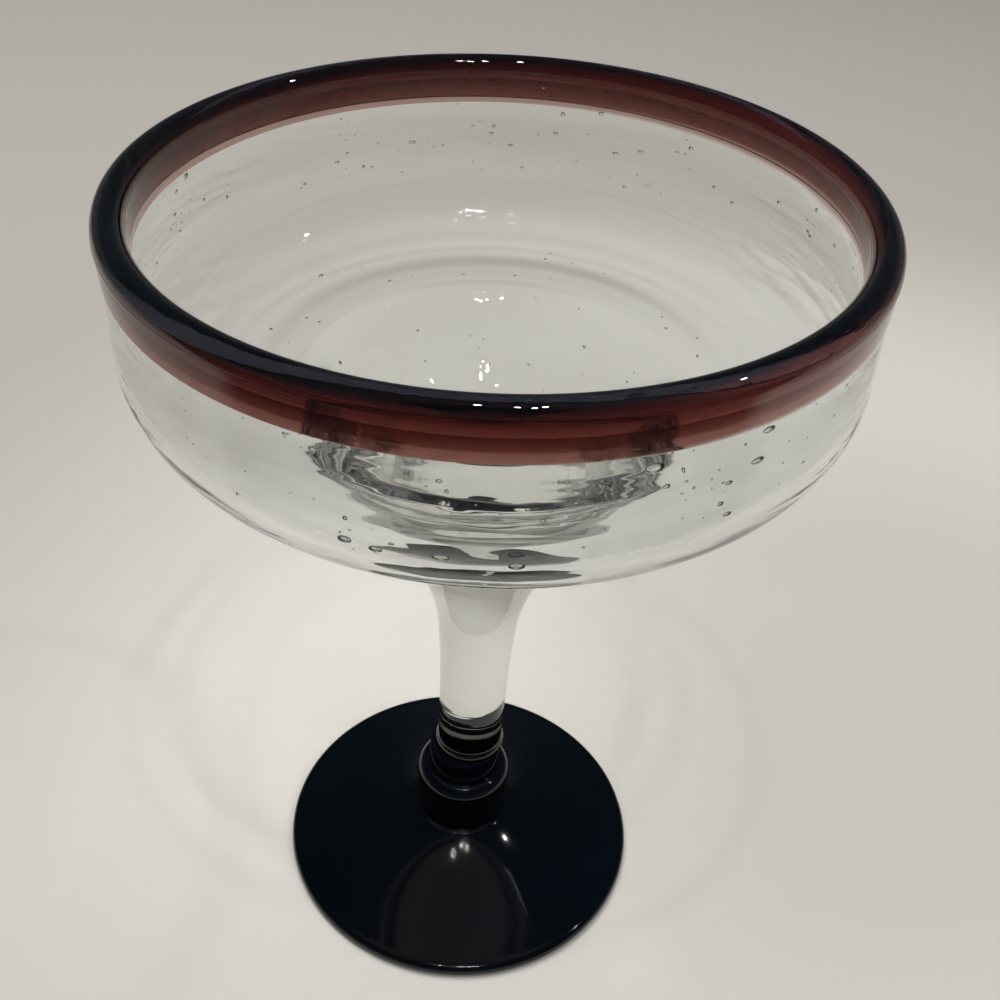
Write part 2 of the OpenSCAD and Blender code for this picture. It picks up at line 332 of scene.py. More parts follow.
class RimShape:
    """The places that the bowl, the band and the lip share."""

    def __init__(self):
        bowl, rim = settings("bowl"), settings("rim")
        self.under_z = LIP_Z - bowl.height
        self.floor_z = self.under_z + bowl.floor
        self.joint_z = self.under_z - bowl.funnel
        self.corner = (bowl.belly - bowl.corner, self.under_z + bowl.corner)
        self.band_z = LIP_Z - rim.band
        self.band_r = bowl.belly - bowl.neck_inset + rim.proud
        self.seat = ((self.band_r - rim.edge, self.band_z), (self.band_r - rim.under_lip, LIP_Z))
        self.inner_r = bowl.belly - bowl.neck_inset - bowl.wall
        self.seat_angle = seat_angle(*self.seat, rim.lip, rim.ring)
        self.inner_angle = math.degrees(-rim.inner_fuse)
        self.outer_angle = math.degrees(-rim.outer_fuse)
        self.lip_middle = (rim.ring, LIP_Z)
        self.hollow = rim.lip + GAP

    def hollow_arc(self, start, end, steps=ARC_STEPS):
        """Part of the round hollow in the band and the wall that the lip fills."""
        return arc(self.lip_middle, self.hollow, self.hollow, start, end, steps)

    def hollow_point(self, degrees):
        """The point of that hollow at an angle, taken from its outermost side."""
        return self.hollow_arc(degrees, degrees, 1)[0]

    def in_hollow(self, r, z):
        """Whether a point lies on the surface of that hollow."""
        return abs(math.hypot(r - self.lip_middle[0], z - LIP_Z) - self.hollow) < NEAR

    def wall_r(self, z):
        """Outer radius of the wall at height z, between its corner and the band."""
        bowl = settings("bowl")
        return bowl.belly - bowl.neck_inset * ((z - self.corner[1]) / (self.band_z - self.corner[1])) ** 2

    def inner_wall_r(self, z, fuse):
        """Inner radius of the wall at height z, which thickens slowly up to where the lip runs into it."""
        bowl, rim = settings("bowl"), settings("rim")
        thin = self.wall_r(min(z, self.band_z)) - bowl.wall
        done = min(max((z - fuse[1] + rim.thickening) / (rim.thickening - rim.band), 0), 1)
        return thin + (fuse[0] - thin) * done * done * (3 - 2 * done)

    def ring_rise(self, r):
        """Height that the two tool rings add to the floor and the lower corner at radius r."""
        bowl = settings("bowl")
        nearest = min(max(round((r - bowl.ring_first) / bowl.ring_pitch), 0), 1)
        away = abs(r - bowl.ring_first - nearest * bowl.ring_pitch) / bowl.ring_half
        return bowl.ring_height * (1 + math.cos(math.pi * away)) / 2 if away < 1 else 0.0


def leaning():
    """The turn that sets the bowl over on its stem, about the middle of the rim."""
    bowl = settings("bowl")
    middle = Matrix.Translation((0, 0, LIP_Z))
    turn = Matrix.Rotation(bowl.heading, 4, "Z")
    return middle @ turn @ Matrix.Rotation(-bowl.lean, 4, "Y") @ turn.inverted() @ middle.inverted()


# Meshes

def turned(outline, closed=False):
    """Spins an outline about the upright axis into a closed skin whose faces point outwards."""
    bm = bmesh.new()
    verts = [bm.verts.new((r, 0, z)) for r, z in outline]
    edges = [bm.edges.new(pair) for pair in zip(verts, verts[1:])]
    if closed:
        edges.append(bm.edges.new((verts[-1], verts[0])))
    bmesh.ops.spin(
        bm, geom=verts + edges, cent=(0, 0, 0), axis=(0, 0, 1), dvec=(0, 0, 0),
        angle=2 * math.pi, steps=TURNS, use_merge=True,
    )
    bmesh.ops.remove_doubles(bm, verts=bm.verts, dist=1e-3 * MM)
    bmesh.ops.recalc_face_normals(bm, faces=bm.faces)
    return bm


def give_joint(bm, test, index=1):
    """Gives the faces whose middle passes the test another material, that of a fused joint."""
    for face in bm.faces:
        middle = face.calc_center_median()
        if test(math.hypot(middle.x, middle.y), middle.z):
            face.material_index = index


def finish_piece(bm, name, node, slot, materials, sharp=40):
    """Makes the mesh an object that stands for its node."""
    mesh = bpy.data.meshes.new(name)
    bm.normal_update()
    bm.to_mesh(mesh)
    bm.free()
    mesh.shade_smooth()
    mesh.set_sharp_from_angle(angle=math.radians(sharp))
    piece = bpy.data.objects.new(name, mesh)
    bpy.context.scene.collection.objects.link(piece)
    for material in materials:
        mesh.materials.append(material)
    piece.visible_shadow = not slot.startswith("clear")
    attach(piece, BODY)
    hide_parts(node)
    return piece


# Materials

def new_group(name, inputs, outputs):
    """A shader node group with named sockets, and its nodes, or None where it has been built before."""
    group = bpy.data.node_groups.get(name)
    if group:
        return group, None
    group = bpy.data.node_groups.new(name, "ShaderNodeTree")
    for label, kind, value in inputs:
        socket = group.interface.new_socket(label, in_out="INPUT", socket_type=kind)
        socket.default_value = value
    for label, kind in outputs:
        group.interface.new_socket(label, in_out="OUTPUT", socket_type=kind)
    return group, group.nodes


def add_node(nodes, kind, **traits):
    """A shader node, with some of its traits set."""
    node = nodes.new("ShaderNode" + kind)
    for trait, value in traits.items():
        setattr(node, trait, value)
    return node


def preset(node, **values):
    """Gives inputs of a node their plain values, with an underscore for each space in a label."""
    for label, value in values.items():
        node.inputs[label.replace("_", " ")].default_value = value


def wire(links, *wires):
    """Links nodes. Each wire is a node, its output, the next node and its input."""
    for giver, out, taker, into in wires:
        links.new(giver.outputs[out], taker.inputs[into])


def add_mix(nodes, first=WHITE, second=WHITE, **traits):
    """A node that mixes two colours."""
    node = add_node(nodes, "Mix", data_type="RGBA", **traits)
    preset(node, A=first, B=second)
    return node


def add_range(nodes, low, high, kind="SMOOTHSTEP"):
    """A node that goes from 0 to 1 while its value goes from low to high."""
    node = add_node(nodes, "MapRange", interpolation_type=kind)
    preset(node, From_Min=low, From_Max=high)
    return node


def fill_ramp(ramp, stops):
    """Sets the stops of a colour ramp, each a place from 0 to 1 and a colour."""
    elements = ramp.color_ramp.elements
    while len(elements) < len(stops):
        elements.new(1.0)
    for element, (at, tone) in zip(elements, stops):
        element.position = at
        element.color = (*tone, 1)


def blown_glass_group():
    """Streaks of tint, a further tint where the glass is thick, and a soft ripple round the piece."""
    group, nodes = new_group(
        "blown_glass",
        [
            ("Tint", "NodeSocketColor", WHITE),
            ("Streak Tint", "NodeSocketColor", WHITE),
            ("Scale", "NodeSocketFloat", 60.0),
            ("Draw", "NodeSocketFloat", 4.0),
            ("Sides", "NodeSocketFloat", 0.0),
            ("Thick Tint", "NodeSocketColor", WHITE),
        ],
        [("Color", "NodeSocketColor"), ("Height", "NodeSocketFloat")],
    )
    if nodes is None:
        return group
    links = group.links
    given = nodes.new("NodeGroupInput")
    result = nodes.new("NodeGroupOutput")
    place = add_node(nodes, "TexCoord")
    apart = add_node(nodes, "SeparateXYZ")
    wire(links, (place, "Object", apart, 0))

    # The pattern changes faster with height, so it is drawn out round the piece
    drawn = add_node(nodes, "Math", operation="MULTIPLY")
    together = add_node(nodes, "CombineXYZ")
    wire(
        links,
        (apart, "X", together, "X"),
        (apart, "Y", together, "Y"),
        (apart, "Z", drawn, 0),
        (given, "Draw", drawn, 1),
        (drawn, 0, together, "Z"),
    )

    # Streaks of tint
    cloud = add_node(nodes, "TexNoise")
    preset(cloud, Detail=1.0)
    mixed = add_mix(nodes)
    wire(
        links,
        (together, 0, cloud, "Vector"),
        (given, "Scale", cloud, "Scale"),
        (cloud, "Fac", mixed, "Factor"),
        (given, "Tint", mixed, "A"),
        (given, "Streak Tint", mixed, "B"),
    )

    # The further tint near the axis, where the glass is thick
    flat = add_node(nodes, "VectorMath", operation="MULTIPLY")
    flat.inputs[1].default_value = (1, 1, 0)
    from_axis = add_node(nodes, "VectorMath", operation="LENGTH")
    thin = add_range(nodes, 18 * MM, 38 * MM)
    middle = add_mix(nodes)
    tinted = add_mix(nodes, blend_type="MULTIPLY")
    preset(tinted, Factor=1.0)
    wire(
        links,
        (place, "Object", flat, 0),
        (flat, 0, from_axis, 0),
        (from_axis, "Value", thin, "Value"),
        (thin, 0, middle, "Factor"),
        (given, "Thick Tint", middle, "A"),
        (mixed, "Result", tinted, "A"),
        (middle, "Result", tinted, "B"),
        (tinted, "Result", result, "Color"),
    )

    # The ripple, stronger at the left and right sides
    ripple = add_node(nodes, "TexNoise")
    preset(ripple, Detail=2.0, Roughness=0.4)
    aside = add_node(nodes, "Math", operation="ABSOLUTE")
    sides = add_range(nodes, 40 * MM, 58 * MM)
    stronger = add_node(nodes, "Math", operation="MULTIPLY_ADD")
    stronger.inputs[2].default_value = 1.0
    height = add_node(nodes, "Math", operation="MULTIPLY")
    wire(
        links,
        (together, 0, ripple, "Vector"),
        (given, "Scale", ripple, "Scale"),
        (apart, "X", aside, 0),
        (aside, 0, sides, "Value"),
        (sides, 0, stronger, 0),
        (given, "Sides", stronger, 1),
        (ripple, "Fac", height, 0),
        (stronger, 0, height, 1),
        (height, 0, result, "Height"),
    )
    return group


def band_fade_group():
    """The band's colour over its height, from clear below it to nearly black at the top of the lip."""
    group, nodes = new_group(
        "band_fade",
        [("Ragged", "NodeSocketFloat", 0.25 * MM)],
        [("Color", "NodeSocketColor")],
    )
    if nodes is None:
        return group
    rim = settings("rim")
    up = leaning().to_3x3() @ Vector((0, 0, 1)) - Vector((rim.dark_side, 0, 0))
    links = group.links
    given = nodes.new("NodeGroupInput")
    result = nodes.new("NodeGroupOutput")
    place = add_node(nodes, "TexCoord")
    from_middle = add_node(nodes, "VectorMath", operation="SUBTRACT")
    from_middle.inputs[1].default_value = (0, 0, LIP_Z)
    height = add_node(nodes, "VectorMath", operation="DOT_PRODUCT")
    height.inputs[1].default_value = up
    wander = add_node(nodes, "TexNoise")
    preset(wander, Scale=45.0, Detail=2.0)
    centred = add_node(nodes, "Math", operation="SUBTRACT")
    centred.inputs[1].default_value = 0.5
    moved = add_node(nodes, "Math", operation="MULTIPLY_ADD")
    ranged = add_range(nodes, FADE_LOW * MM, FADE_HIGH * MM, "LINEAR")
    ramp = add_node(nodes, "ValToRGB")
    stops = [
        (-6.6, rim.edge_clear),
        (-5.9, rim.edge_red),
        (-3.8, rim.pale_red),
        (-1.8, rim.wine_red),
        (0.0, rim.deep_red),
        (1.8, rim.lip_dark),
    ]
    fill_ramp(ramp, [((at - FADE_LOW) / (FADE_HIGH - FADE_LOW), tone) for at, tone in stops])
    wire(
        links,
        (place, "Object", from_middle, 0),
        (from_middle, 0, height, 0),
        (place, "Object", wander, "Vector"),
        (wander, "Fac", centred, 0),
        (centred, 0, moved, 0),
        (given, "Ragged", moved, 1),
        (height, "Value", moved, 2),
        (moved, 0, ranged, "Value"),
        (ranged, 0, ramp, "Fac"),
        (ramp, "Color", result, "Color"),
    )
    return group


def new_material(name, viewport):
    """A material with one Principled shader, with its tree and that shader."""
    material = bpy.data.materials.new(name)
    material.use_nodes = True
    material.diffuse_color = (*viewport, 1)
    nodes = material.node_tree.nodes
    return material, material.node_tree, nodes["Principled BSDF"]


def add_group(tree, group, **values):
    """Puts a node group in a material with its own values."""
    node = add_node(tree.nodes, "Group", node_tree=group)
    preset(node, **values)
    return node


def add_ripple(tree, shader, worked, strength, distance):
    """Lets the ripple of the glass tilt its surface."""
    bump = add_node(tree.nodes, "Bump")
    preset(bump, Strength=strength, Distance=distance)
    wire(tree.links, (worked, "Height", bump, "Height"), (bump, "Normal", shader, "Normal"))


def see_through(name, viewport, joint):
    """A material that bends light at a surface, or lets it pass straight on at a fused joint."""
    material, tree, shader = new_material(name, viewport)
    preset(shader, Roughness=0.0, Transmission_Weight=1.0, IOR=JOINT_IOR if joint else GLASS_IOR)
    return material, tree, shader


def clear_glass(joint=False, hub_shade=False):
    """Clear seeded glass; on the hub, clear glass tinted dark as painted shade of the black hub seen through
    it.
    """
    name = ("hub_shaded_clear" if hub_shade else "seeded_clear") + ("_joint" if joint else "")
    known = bpy.data.materials.get(name)
    if known:
        return known
    bowl, stem = settings("bowl"), settings("stem")
    material, tree, shader = see_through(name, bowl.tint, joint)
    if joint:
        # On the hub even the joints carry the painted shade of the black hub
        preset(shader, Base_Color=(*stem.hub_shade, 1) if hub_shade else WHITE)
        return material
    # On the hub the tint is painted shade, standing for the black hub seen through the clear collar
    tint, streak = (stem.hub_shade, stem.hub_shade) if hub_shade else (bowl.tint, bowl.tint_streak)
    thick = WHITE if hub_shade else (*bowl.thick_tint, 1)
    worked = add_group(
        tree, blown_glass_group(), Tint=(*tint, 1), Streak_Tint=(*streak, 1), Thick_Tint=thick,
        Scale=RIPPLE_SCALE, Draw=RIPPLE_DRAW, Sides=SIDE_RIPPLE,
    )
    wire(tree.links, (worked, "Color", shader, "Base Color"))
    add_ripple(tree, shader, worked, strength=0.25, distance=0.4 * MM)
    return material


def wine_glass(joint=False):
    """Wine-red glass that pales towards the band's lower edge and darkens over the lip."""
    name = "wound_wine_joint" if joint else "wound_wine"
    known = bpy.data.materials.get(name)
    if known:
        return known
    material, tree, shader = see_through(name, settings("rim").wine_red, joint)
    fade = add_group(tree, band_fade_group())
    wire(tree.links, (fade, "Color", shader, "Base Color"))
    if not joint:
        worked = add_group(tree, blown_glass_group(), Scale=RIPPLE_SCALE, Draw=RIPPLE_DRAW)
        add_ripple(tree, shader, worked, strength=0.2, distance=0.3 * MM)
    return material


def black_glass():
    """Blue-black glass, polished by the fire."""
    known = bpy.data.materials.get("pressed_black")
    if known:
        return known
    foot = settings("foot")
    material, tree, shader = new_material("pressed_black", foot.black)
    worked = add_group(
        tree, blown_glass_group(), Tint=(*foot.black, 1), Streak_Tint=(*foot.blue_black, 1),
        Scale=40.0, Draw=2.0,
    )
    wire(tree.links, (worked, "Color", shader, "Base Color"))
    preset(shader, Roughness=0.07, Specular_IOR_Level=0.35, IOR=GLASS_IOR)
    add_ripple(tree, shader, worked, strength=0.2, distance=0.3 * MM)
    return material


# Operators

class GLASS_OT_bowl(Operator):
    """Blows the clear bowl, with its tool rings and seed bubbles"""

    bl_idname = "glass.bowl"
    bl_label = "Blow the bowl"

    def execute(self, context):
        bowl, rim = settings("bowl"), settings("rim")
        shape = RimShape()
        corner = shape.corner
        wall_zs = spread(corner[1], shape.band_z, WALL_STEPS) + [shape.band_z]
        fuse = shape.hollow_point(shape.inner_angle)
        inner_zs = spread(corner[1], fuse[1], FINE_STEPS)
        inner_half = (bowl.corner - bowl.wall, bowl.corner - bowl.floor)
        inner_corner = arc(corner, *inner_half, 0, -90, INNER_CORNER_STEPS)
        floor = [(r, shape.floor_z) for r in spread(corner[0], bowl.mouth, FLOOR_STEPS)]
        funnel = [(r - GAP, z) for r, z in funnel_outline(shape)]
        outline = (
            [(0, shape.joint_z)]
            + funnel
            + line((bowl.flare, shape.under_z), (corner[0], shape.under_z), UNDERSIDE_STEPS)[1:]
            + arc(corner, bowl.corner - GAP, bowl.corner, -90, 0, CORNER_STEPS)[1:]
            + [(shape.wall_r(z) - GAP, z) for z in wall_zs]
            + [(shape.seat[0][0] - GAP, shape.band_z)]
            + shape.hollow_arc(shape.seat_angle, shape.inner_angle)
            + [(shape.inner_wall_r(z, fuse), z) for z in reversed(inner_zs)]
            + [(r, z + shape.ring_rise(r)) for r, z in inner_corner + floor]
            + well_outline(shape)
        )
        bm = turned(outline)
        seat_r = shape.seat[0][0]
        give_joint(bm, lambda r, z: z > shape.band_z and r < shape.inner_r + GAP, 2)
        give_joint(bm, lambda r, z: z > shape.band_z + GAP and r > rim.ring)
        give_joint(bm, shape.in_hollow)
        give_joint(bm, lambda r, z: abs(z - shape.band_z) < GAP and r < seat_r)
        give_joint(bm, lambda r, z: abs(z - shape.joint_z) < GAP)
        bm.transform(leaning())
        self.add_seeds(bm, shape)
        bowl_materials = [clear_glass(), clear_glass(joint=True), wine_glass()]
        finish_piece(bm, "bowl_glass", "bowl", "clear_glass", bowl_materials, 50)
        return {"FINISHED"}

    @staticmethod
    def add_seeds(bm, shape):
        """Leaves seed bubbles in the wall and the floor, as small closed skins that point inwards."""
        seeds, bowl = settings("seeds"), settings("bowl")
        chance = random.Random(seeds.order)
        bubbles = bmesh.new()

        def one_size():
            return seeds.smallest + (seeds.largest - seeds.smallest) * chance.random() ** 3

        def in_wall(degrees, height, size, longest=2.0):
            radius = shape.wall_r(height) - chance.uniform(*SEED_DEPTH) * bowl.wall
            stretch = chance.uniform(longest - 1, longest)
            add_seed(bubbles, math.radians(degrees), radius, height, size, stretch)

        def in_floor(radius, height):
            azimuth = chance.uniform(0, 2 * math.pi)
            size = one_size()
            add_seed(bubbles, azimuth, radius, height, size, chance.uniform(*FLOOR_STRETCH))

        low, high = shape.corner[1] - 2 * MM, shape.band_z - 0.7 * MM
        for _ in range(seeds.wall):
            in_wall(chance.uniform(0, 360), chance.uniform(low, high), one_size())
        for degrees, height in SWARMS:
            for _ in range(seeds.swarm):
                azimuth = degrees + chance.gauss(0, SWARM_DEGREES)
                in_wall(azimuth, height * MM + chance.gauss(0, SWARM_RISE), one_size() * 0.9)
        for degrees, height, share_of_big in BIG_SEEDS:
            in_wall(degrees, height * MM, seeds.big * share_of_big, 2.6)
        for _ in range(seeds.floor):
            radius = chance.uniform(bowl.mouth + 3 * MM, shape.corner[0])
            in_floor(radius, shape.floor_z - chance.uniform(*SEED_DEPTH) * bowl.floor)
        # The well's outline without its mouth and the middle of its bottom
        well = well_outline(shape)[4:-12]
        for _ in range(seeds.floor):
            radius, height = chance.choice(well)
            in_floor(radius, height - UNDER_WELL)
        join_seeds(bm, bubbles)


def add_seed(bm, azimuth, radius, height, size, stretch):
    """One seed bubble, drawn out round the piece."""
    place = Matrix.Rotation(azimuth, 4, "Z") @ Matrix.Translation((radius, 0, height))
    shape = Matrix.Diagonal((size * 0.8, size * stretch, size, 1))
    bmesh.ops.create_icosphere(bm, subdivisions=2, radius=1.0, matrix=leaning() @ place @ shape)


def join_seeds(bm, bubbles):
    """Turns the seeds inside out, as holes in the glass are, and adds them to its mesh."""
    bmesh.ops.reverse_faces(bubbles, faces=bubbles.faces)
    loose = bpy.data.meshes.new("seeds")
    bubbles.to_mesh(loose)
    bubbles.free()
    bm.from_mesh(loose)
    bpy.data.meshes.remove(loose)


def between(p, q, across, up):
    """The point on the way from p to q by the given shares of the way across and of the way up."""
    return (p[0] + (q[0] - p[0]) * across, p[1] + (q[1] - p[1]) * up)


def well_outline(shape):
    """The well in the floor, from its mouth down to the middle of its bottom.

    Its side is steepest at 45% of its depth. The other shares shape the two curves that meet there.
    """
    bowl = settings("bowl")
    low = shape.floor_z - bowl.well_depth
    side = (bowl.well, low + bowl.well_depth * 0.45)
    foot, mouth = (bowl.well, low), (bowl.mouth, shape.floor_z)
    edge = bend(mouth, between(foot, mouth, 0.55, 1), between(foot, mouth, 0.4, 0.718), side)
    centre, over = (0, low), (bowl.well, shape.floor_z)
    bottom = bend(side, between(centre, over, 0.62, 0.124), between(centre, over, 0.35, 0), centre)
    return edge + bottom[1:]


def funnel_outline(shape):
    """The outside of the funnel under the bowl, from its joint with the stem out to the flat underside."""
    bowl, stem = settings("bowl"), settings("stem")
    run = bowl.flare - stem.trumpet
    return bend(
        (stem.trumpet, shape.joint_z), (stem.trumpet + run * 0.25, shape.joint_z + bowl.funnel * 0.39),
        (stem.trumpet + run * 0.55, shape.under_z), (bowl.flare, shape.under_z), FUNNEL_STEPS,
    )


def trumpet_outline(stem, shape):
    """The stem's outline from the collar up and a little past its joint with the bowl.

    The shares shape the two curves that meet at the throat.
    """
    stem_z = COLLAR_HIGH.z
    rise = shape.joint_z - stem_z
    opening = stem.trumpet - stem.throat
    throat = (stem.throat, stem_z + rise * 0.517)
    rim = (stem.trumpet, shape.joint_z)
    last = (stem.throat + opening * 0.653, stem_z + rise * 0.883)
    shank = bend(
        (stem.shank, stem_z), (stem.shank, stem_z + rise * 0.193),
        (stem.shank + (stem.throat - stem.shank) * 0.26, stem_z + rise * 0.407), throat,
    )
    first = (stem.throat + opening * 0.085, stem_z + rise * 0.628)
    trumpet = bend(throat, first, last, rim, FINE_STEPS)
    beyond = 0.35
    past = (rim[0] + (rim[0] - last[0]) * beyond, rim[1] + (rim[1] - last[1]) * beyond)
    return shank + trumpet[1:] + [past]


def radius_at(outline, z):
    """Radius of an upright outline at height z."""
    for low, high in zip(outline, outline[1:]):
        if low[1] <= z <= high[1]:
            return low[0] + (high[0] - low[0]) * (z - low[1]) / (high[1] - low[1])
    return outline[-1][0]


class GLASS_OT_rim(Operator):
    """Winds the wine-red band round the wall and rolls the dark lip over both"""

    bl_idname = "glass.rim"
    bl_label = "Wind the band and roll the lip"

    def execute(self, context):
        rim = settings("rim")
        shape = RimShape()
        seat_low = shape.seat[0]
        band_r, edge_z = shape.band_r - GAP, shape.band_z + rim.proud
        band = (
            arc((band_r - rim.proud, edge_z), rim.proud, rim.proud, -90, 0, EDGE_STEPS)
            + line((band_r, edge_z), shape.hollow_point(shape.outer_angle), BAND_STEPS)[1:]
            + shape.hollow_arc(shape.outer_angle, shape.seat_angle, BAND_STEPS)[1:]
            + [(seat_low[0], shape.band_z)]
        )
        bm = turned(band, closed=True)
        seat_high = band[-2]

        def on_seat(r, z):
            along = (z - seat_low[1]) / (seat_high[1] - seat_low[1])
            return abs(r - seat_low[0] - (seat_high[0] - seat_low[0]) * along) < NEAR

        give_joint(bm, on_seat)
        give_joint(bm, shape.in_hollow, 2)
        bm.transform(leaning())
        band_materials = [wine_glass(), wine_glass(joint=True), clear_glass(joint=True)]
        finish_piece(bm, "band_glass", "rim_band", "wine_glass", band_materials)

        lip = arc(shape.lip_middle, rim.lip - GAP, rim.lip - GAP, 0, 360, LIP_STEPS)[:-1]
        bm = turned(lip, closed=True)

        def under(r, z):
            angle = math.degrees(math.atan2(z - LIP_Z, r - rim.ring))
            return shape.inner_angle < angle < shape.outer_angle

        give_joint(bm, under)
        bm.transform(leaning())
        finish_piece(bm, "lip_glass", "lip_bead", "lip_glass", [wine_glass(), clear_glass(joint=True)])
        return {"FINISHED"}


def stem_place(shape, sides):
    """Where the upright stem stands, so that its slanting rim meets the funnel's."""
    bowl, stem = settings("bowl"), settings("stem")
    low, high = sides[-2:]
    slope = (high[0] - low[0]) / (high[1] - low[1])
    out = (LIP_Z - shape.joint_z) * math.sin(bowl.lean) - stem.trumpet * math.tan(bowl.lean) * slope
    return Vector((out * math.cos(bowl.heading), out * math.sin(bowl.heading), 0))


def seat_under_bowl(vert, sides, middle, up):
    """Moves a vertex of the stem's rim along its outline to the leaning underside of the funnel."""
    for _ in range(SEAT_ROUNDS):
        vert.co.z = middle.z - (vert.co.xy - middle.xy).dot(up.xy) / up.z
        scale = radius_at(sides, vert.co.z) / vert.co.xy.length
        vert.co.x *= scale
        vert.co.y *= scale


class GLASS_OT_stem(Operator):
    """Draws the clear stem with its trumpet, and the collar under it"""

    bl_idname = "glass.stem"
    bl_label = "Draw the stem"

    def execute(self, context):
        stem = settings("stem")
        shape = RimShape()
        sides = [(r - GAP, z) for r, z in trumpet_outline(stem, shape)]
        sides[0] = (sides[0][0], sides[0][1] + GAP)
        top = shape.joint_z - GAP
        bottom = sides[0][1]
        below_top = [point for point in sides if point[1] < top - 0.8 * MM]
        outline = [(0, bottom)] + below_top + [(radius_at(sides, top), top), (0, top)]
        bm = turned(outline)
        give_joint(bm, lambda r, z: z > top - NEAR_END or z < bottom + NEAR_END)
        place = stem_place(shape, sides)
        up = leaning().to_3x3() @ Vector((0, 0, 1))
        middle = leaning() @ Vector((0, 0, top)) - place
        for vert in [v for v in bm.verts if v.co.z > top - NEAR_END]:
            if vert.co.xy.length > 0:
                seat_under_bowl(vert, sides, middle, up)
            else:
                vert.co.z = middle.z + middle.xy.dot(up.xy) / up.z
        bmesh.ops.translate(bm, verts=bm.verts, vec=place)
        finish_piece(bm, "stem_glass", "stem", "clear_glass", [clear_glass(), clear_glass(joint=True)])
        self.make_collar(stem, place)
        return {"FINISHED"}

    @staticmethod
    def make_collar(stem, place):
        """The small clear collar, round below and drawn in smoothly to the stem above."""
        low, high = COLLAR_LOW.z + GAP, COLLAR_HIGH.z - GAP
        tall = high - low
        wide, narrow = stem.collar - GAP, stem.shank - GAP
        edge = stem.collar_edge
        outline = (
            [(0, low)]
            + arc((wide - edge, low + edge), edge, edge, -90, 0, EDGE_STEPS)
            + bend(
                (wide, low + tall * 0.45), (wide, low + tall * 0.8),
                (narrow, low + tall * 0.75), (narrow, high), COLLAR_STEPS,
            )
            + [(0, high)]
        )
        bm = turned(outline)
        give_joint(bm, lambda r, z: z < low + NEAR_END or z > high - NEAR_END)
        bmesh.ops.translate(bm, verts=bm.verts, vec=place)
        # The collar's dark tint is painted shade of the black hub under it
        collar_shaded = [clear_glass(hub_shade=True), clear_glass(joint=True, hub_shade=True)]
        finish_piece(bm, "collar_glass", "stem_collar", "clear_glass", collar_shaded)


class GLASS_OT_foot(Operator):
    """Presses the black foot and rolls the black hub on it"""

    bl_idname = "glass.foot"
    bl_label = "Press the foot"

    def execute(self, context):
        foot = settings("foot")
        crown = HUB_LOW.z
        shoulder = foot.hub - foot.neck
        side = foot.hub_height - shoulder
        neck_z = crown + foot.hub_height
        low, high = crown + GAP, HUB_HIGH.z - GAP
        body = []
        for i in range(SWELL_STEPS + 1):
            done = i / SWELL_STEPS
            body.append((foot.hub - GAP + foot.swell * math.sin(math.pi * done), low + side * done))
        outline = (
            [(0, low)]
            + body
            + arc((foot.neck - GAP, neck_z - shoulder), shoulder, shoulder, 0, 90, SWELL_STEPS)[1:]
            + line((foot.neck - GAP, neck_z), (foot.neck - GAP, high), NECK_STEPS)[1:]
            + [(0, high)]
        )
        finish_piece(turned(outline), "hub_glass", "foot_hub", "black_glass", [black_glass()])

        edge = foot.edge / 2
        ring_r = foot.radius - edge
        hollow_r = ring_r - foot.ring_width
        crown_r = foot.hub + foot.step
        run, climb = ring_r - crown_r, crown - foot.edge
        roof = foot.hollow + GAP
        outline = (
            bend((0, roof), (hollow_r / 2, roof), (hollow_r / 2, GAP), (hollow_r, GAP))
            + arc((ring_r - GAP, edge + GAP), edge, edge, -90, 90, CURVE_STEPS)
            + bend(
                (ring_r - GAP, foot.edge), (ring_r - run * 0.39, foot.edge + climb * 0.33),
                (ring_r - run * 0.77, foot.edge + climb * 0.6), (crown_r, crown - GAP), CROWN_STEPS,
            )[1:]
            + [(0, crown - GAP)]
        )
        finish_piece(turned(outline), "foot_glass", "foot", "black_glass", [black_glass()])
        return {"FINISHED"}


